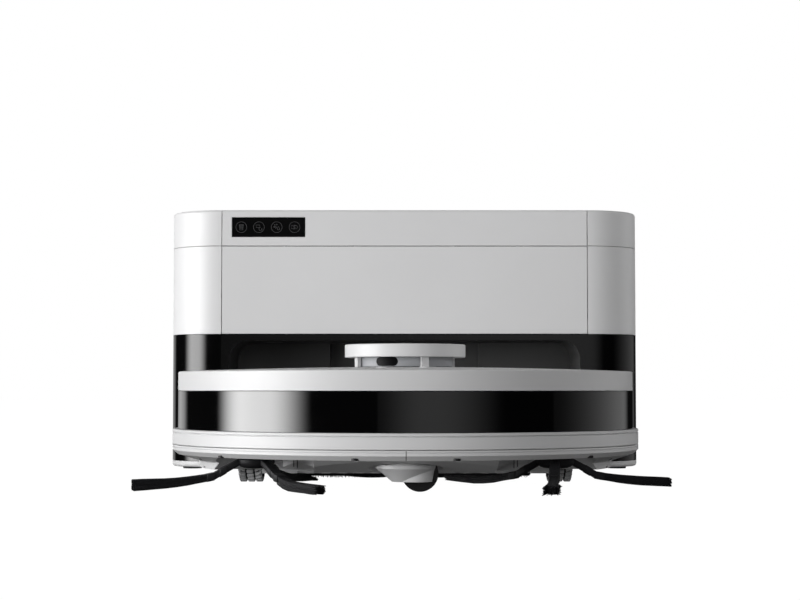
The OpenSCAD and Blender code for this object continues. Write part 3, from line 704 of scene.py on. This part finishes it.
def display_icons():
    """Four round line icons: bin, pad, wash and charge."""
    low, high = (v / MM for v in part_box("display_window"))
    y, z = low.y, (low.z + high.z) / 2
    xs = [-142.1, -126.8, -111.3, -95.8]
    thin, d = 0.34, 0.05
    form = Form()
    for x in xs:
        line_strip(form, circle(x, z, 4.7), 0.3, y, d, True)
    x = xs[0]
    line_strip(form, [(x - 1.6, z + 1.3), (x - 1.3, z - 2.4), (x + 1.3, z - 2.4), (x + 1.6, z + 1.3)],
               thin, y, d)
    for dz in (1.5, 2.2):
        line_strip(form, [(x - 2.0, z + dz), (x + 2.0, z + dz)], thin, y, d)
    for dz in (0.6, -0.4, -1.4):
        line_strip(form, [(x - 1.2, z + dz), (x + 1.2, z + dz)], thin, y, d)
    x = xs[1]
    line_strip(form, [(x - 2.6, z + 1.9), (x + 0.6, z + 1.9), (x + 1.1, z - 0.3), (x - 2.1, z - 0.3)],
               thin, y, d, True)
    line_strip(form, circle(x + 1.3, z - 1.5, 1.3, 16, 90, 390), thin, y, d)
    line_strip(form, [(x + 0.4, z - 2.9), (x + 3.0, z - 2.3)], thin, y, d)
    x = xs[2]
    for dx, dz in ((-1.7, 2.0), (0.1, 2.3), (-2.3, 0.3)):
        line_strip(form, circle(x + dx, z + dz, 0.35, 8), thin, y, d, True)
    line_strip(form, [(x - 0.9, z + 0.9), (x - 0.1, z - 0.1), (x - 0.9, z - 1.1), (x - 1.7, z - 0.1)],
               thin, y, d, True)
    line_strip(form, [(x + 1.5, z + 0.9), (x + 0.4, z - 1.2), (x + 0.8, z - 2.3), (x + 2.2, z - 2.3),
                      (x + 2.6, z - 1.2)], thin, y, d, True)
    x = xs[3]
    line_strip(form, [(x - 2.8, z + 1.3), (x + 2.2, z + 1.3), (x + 2.2, z - 1.3), (x - 2.8, z - 1.3)],
               thin, y, d, True)
    line_strip(form, [(x + 2.8, z + 0.6), (x + 2.8, z - 0.6)], thin, y, d)
    line_strip(form, [(x + 0.5, z + 1.9), (x - 0.9, z - 0.1), (x + 0.6, z + 0.1), (x - 0.7, z - 1.9)],
               0.6, y, d)
    form.build("display_icons", "station_lid", [MAT["icon_ink"]], Vector(), 0)


def underside_gap_shade():
    """Thin dark strips of painted shade in the gaps at the lower shell's snap hooks, the pocket walls' clips and
    the rim's parting line.
    """
    form = Form()
    for sign in (-1, 1):
        # on the drum, next to the wheels
        for dx, z0, z1, w in ((0.0, 17.2, 20.2, 0.5), (0.0, 12.6, 15.8, 0.5), (1.0, 12.6, 13.4, 2.0)):
            x = sign * (146 - dx)
            low = 154 + (z0 - 17) * 3.4 if z0 > 17 else 153.2
            high = 154 + (z1 - 17) * 3.4 if z1 > 17 else 153.2
            y0, y1 = (-math.sqrt(r * r - x * x) for r in (low, high))
            rings = []
            for y, z in ((y0, z0), (y1, z1)):
                rings.append([Vector((x - w / 2, y - 0.35, z)), Vector((x + w / 2, y - 0.35, z)),
                              Vector((x + w / 2, y + 0.5, z)), Vector((x - w / 2, y + 0.5, z))])
            form.rings(rings)
        # on the slanted pocket wall
        for x, z0, z1 in ((79.4, 14.2, 20.2), (76.6, 13.4, 19.4)):
            y = -100 + (x - 62) * 38 / 26
            form.brick((sign * x - 0.3, y - 0.35, z0), (sign * x + 0.3, y + 0.3, z1), 0, 0.08)
    low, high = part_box("lower_shell")
    wide = (high.x - low.x) / 2 / MM
    rim = [Vector((0, -r, z)) for r, z in ((wide - 3.8, 22.1), (wide + 0.1, 25.3), (wide + 0.1, 28.6))]
    for a, b in zip(rim, rim[1:]):
        rings = []
        for p in (a, b):
            rings.append([p + Vector((-0.22, -0.04, -0.04)), p + Vector((0.22, -0.04, -0.04)),
                          p + Vector((0.22, 0.5, 0.3)), p + Vector((-0.22, 0.5, 0.3))])
        form.rings(rings)
    # all the strips take the dark painted gap shade
    form.build("underside_gap_shade", "robot", [MAT["groove"]], ROBOT, 30)


def top_details():
    """Marks on the two buttons, standing just proud of them."""
    for name, kind in (("power_button", 0), ("home_button", 1)):
        low, high = (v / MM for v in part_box(name))
        c = (low + high) / 2
        z = high.z
        if kind == 0:
            pts = circle(c.x, c.y, 2.2, 24, 120, 420)
            ring = [Vector((x, y, z)) for x, y in pts]
        else:
            ring = [Vector((c.x + x, c.y + y, z)) for x, y in
                    ((-2.2, -0.2), (0, 2.0), (2.2, -0.2), (1.5, -0.2),
                     (1.5, -2.0), (-1.5, -2.0), (-1.5, -0.2))]
        form = Form()
        n = len(ring)
        closed = kind == 1
        rings = []
        for i in range(n + (1 if closed else 0)):
            p = ring[i % n]
            a = ring[(i - 1) % n] if closed or i else p
            b = ring[(i + 1) % n] if closed or i < n - 1 else p
            along = (b - a).normalized()
            side = Vector((-along.y, along.x, 0)) * 0.22
            up = Vector((0, 0, 0.06))
            rings.append([p - side, p + side, p + side + up, p - side + up])
        form.rings(rings, caps=not closed)
        if kind == 0:
            form.brick((c.x - 0.22, c.y + 0.6, z), (c.x + 0.22, c.y + 2.9, z + 0.06))
        form.build(name + "_mark", "power_key" if kind == 0 else "home_key",
                    [MAT["grey_plastic"]], Vector(), 0)


# ---------------------------------------------------------------- light
def area(name, azimuth, distance, size, height, power, diffuse=True, glossy=True, profile=None):
    """Soft box round the robot; azimuth 0 stands behind the camera, negative to its left.
    profile lists (place across the box, brightness) stops, from its lowest azimuth to its highest."""
    light = bpy.data.lights.new(name, "AREA")
    light.shape = "RECTANGLE"
    light.size, light.size_y = size
    light.energy = power
    obj = bpy.data.objects.new(name, light)
    a = math.radians(azimuth)
    obj.location = ROBOT + Vector((distance * math.sin(a), -distance * math.cos(a), height))
    flat = Vector((ROBOT.x, ROBOT.y, height))
    obj.rotation_euler = (flat - obj.location).to_track_quat("-Z", "Y").to_euler()
    obj.visible_camera = False
    obj.visible_diffuse = diffuse
    obj.visible_glossy = glossy
    scene.collection.objects.link(obj)
    if profile:
        light.use_nodes = True
        tree = light.node_tree
        emission = next(n for n in tree.nodes if n.type == "EMISSION")
        place = tree.nodes.new("ShaderNodeNewGeometry")
        split = tree.nodes.new("ShaderNodeSeparateXYZ")
        ramp = tree.nodes.new("ShaderNodeValToRGB")
        ramp.color_ramp.interpolation = "EASE"
        stops = ramp.color_ramp.elements
        while len(stops) < len(profile):
            stops.new(0.5)
        for stop, (at, value) in zip(stops, profile):
            stop.position = at
            stop.color = (value, value, value, 1)
        tree.links.new(place.outputs["Parametric"], split.inputs[0])
        tree.links.new(split.outputs[0], ramp.inputs[0])
        tree.links.new(ramp.outputs[0], emission.inputs["Color"])


def lights():
    # what the gloss shows
    area("card_key", -75, 1.6, (2.1, 0.9), 0.3, 41.5, diffuse=False,
         profile=[(0.1, 0.0), (0.4, 1.0), (0.6, 1.0), (0.96, 0.0)])
    area("card_left_rear", -158, 1.6, (1.5, 0.8), 0.25, 2.0, diffuse=False,
         profile=[(0.2, 0.0), (0.69, 1.0), (0.79, 0.9), (0.98, 0.0)])
    area("card_front", 22, 2.4, (3.36, 0.9), 0.3, 2.85, diffuse=False,
         profile=[(0.0, 0.15), (0.34, 1.0), (0.4, 1.0), (0.86, 0.0)])
    area("card_right", 112, 1.6, (2.5, 0.9), 0.3, 2.1, diffuse=False,
         profile=[(0.02, 0.1), (0.6, 1.0), (0.75, 0.9), (0.93, 0.0)])
    # what lights the matt surfaces
    area("key_rear", -100, 2.4, (1.2, 1.1), 0.55, 15.5, glossy=False)
    area("key", -60, 2.4, (1.2, 1.1), 0.5, 30.5, glossy=False)
    area("front", 5, 2.6, (1.4, 1.0), 0.7, 11.8, glossy=False)
    area("right", 110, 2.4, (1.0, 1.0), 0.6, 13.8, glossy=False)
    area("low", -48, 1.8, (0.9, 0.2), 0.11, 4.5, glossy=False)
    world = bpy.data.worlds.new("world")
    scene.world = world
    world.use_nodes = True
    tree = world.node_tree
    tree.nodes.clear()
    new, link = tree.nodes.new, tree.links.new
    out = new("ShaderNodeOutputWorld")
    ray = new("ShaderNodeLightPath")
    ambient, seen, shine = (new("ShaderNodeBackground") for _ in range(3))
    ambient.inputs["Color"].default_value = (1, 1, 1, 1)
    seen.inputs["Color"].default_value = (1, 1, 1, 1)
    seen.inputs["Strength"].default_value = 1.0
    shine.inputs["Color"].default_value = (1, 1, 1, 1)
    shine.inputs["Strength"].default_value = 0.004
    # the ambient light is dimmer from below, and a little dimmer from the right
    coords = new("ShaderNodeTexCoord")
    split = new("ShaderNodeSeparateXYZ")
    up, across, both = new("ShaderNodeMapRange"), new("ShaderNodeMapRange"), new("ShaderNodeMath")
    link(coords.outputs["Generated"], split.inputs[0])
    for node, source, low, high, lo_value, hi_value in (
            (up, 2, -0.25, 0.05, 0.08, 0.13), (across, 0, -0.8, 0.8, 1.3, 0.8)):
        node.inputs["From Min"].default_value = low
        node.inputs["From Max"].default_value = high
        node.inputs["To Min"].default_value = lo_value
        node.inputs["To Max"].default_value = hi_value
        link(split.outputs[source], node.inputs["Value"])
    both.operation = "MULTIPLY"
    link(up.outputs[0], both.inputs[0])
    link(across.outputs[0], both.inputs[1])
    link(both.outputs[0], ambient.inputs["Strength"])
    first, second = new("ShaderNodeMixShader"), new("ShaderNodeMixShader")
    link(ray.outputs["Is Glossy Ray"], first.inputs[0])
    link(ambient.outputs[0], first.inputs[1])
    link(shine.outputs[0], first.inputs[2])
    link(ray.outputs["Is Camera Ray"], second.inputs[0])
    link(first.outputs[0], second.inputs[1])
    link(seen.outputs[0], second.inputs[2])
    link(second.outputs[0], out.inputs["Surface"])


FLOOR_HALF = 9


def floor():
    """Plain white stage that lights nothing."""
    mesh = bpy.data.meshes.new("floor")
    w = FLOOR_HALF
    mesh.from_pydata([(-w, -w, 0), (w, -w, 0), (w, w, 0), (-w, w, 0)], [], [(0, 1, 2, 3)])
    obj = bpy.data.objects.new("floor", mesh)
    scene.collection.objects.link(obj)
    s = Shader("pale floor", (0.02, 0.02, 0.02), 0.9, specular=0.0)
    s.vary(s.noise(3, 2), 0.99, 1.01)
    s.set("Emission Color", (1, 1, 1, 1))
    s.set("Emission Strength", 1.0)
    mesh.materials.append(s.mat)
    obj.visible_diffuse = False
    obj.visible_glossy = False
    obj.visible_shadow = False


look()
paint_frame()
side_brush("left", [
    {"angle": 200, "tip": (0.3, 8.3), "count": 190, "fray": 0.3, "splay": 3.0},
    {"angle": 304, "tip": (0.3, 6.0), "count": 190, "fray": 2.8, "splay": 3.6, "fan": FRONT_FAN},
    {"angle": 65, "tip": (2.2, 3.6), "count": 160, "fray": 1.5, "splay": 3.4, "fan": LOW_FAN},
], 7)
side_brush("right", [
    {"angle": 16.5, "tip": (0.5, 6.8), "count": 190, "fray": 1.3, "splay": 3.2},
    {"angle": 263.5, "tip": (0.3, 6.6), "count": 240, "fray": 4.5, "splay": 5.6},
    {"angle": 149, "tip": (4.4, 8.0), "count": 150, "fray": 2.2, "splay": 3.6, "fan": REAR_FAN},
], 8)
for which in ("left", "right"):
    tyre(which)
    wheel_face(which)
main_brush()
mop_pad()
dust_bag()
bin_filter()
display_icons()
underside_gap_shade()
top_details()
floor()
lights()
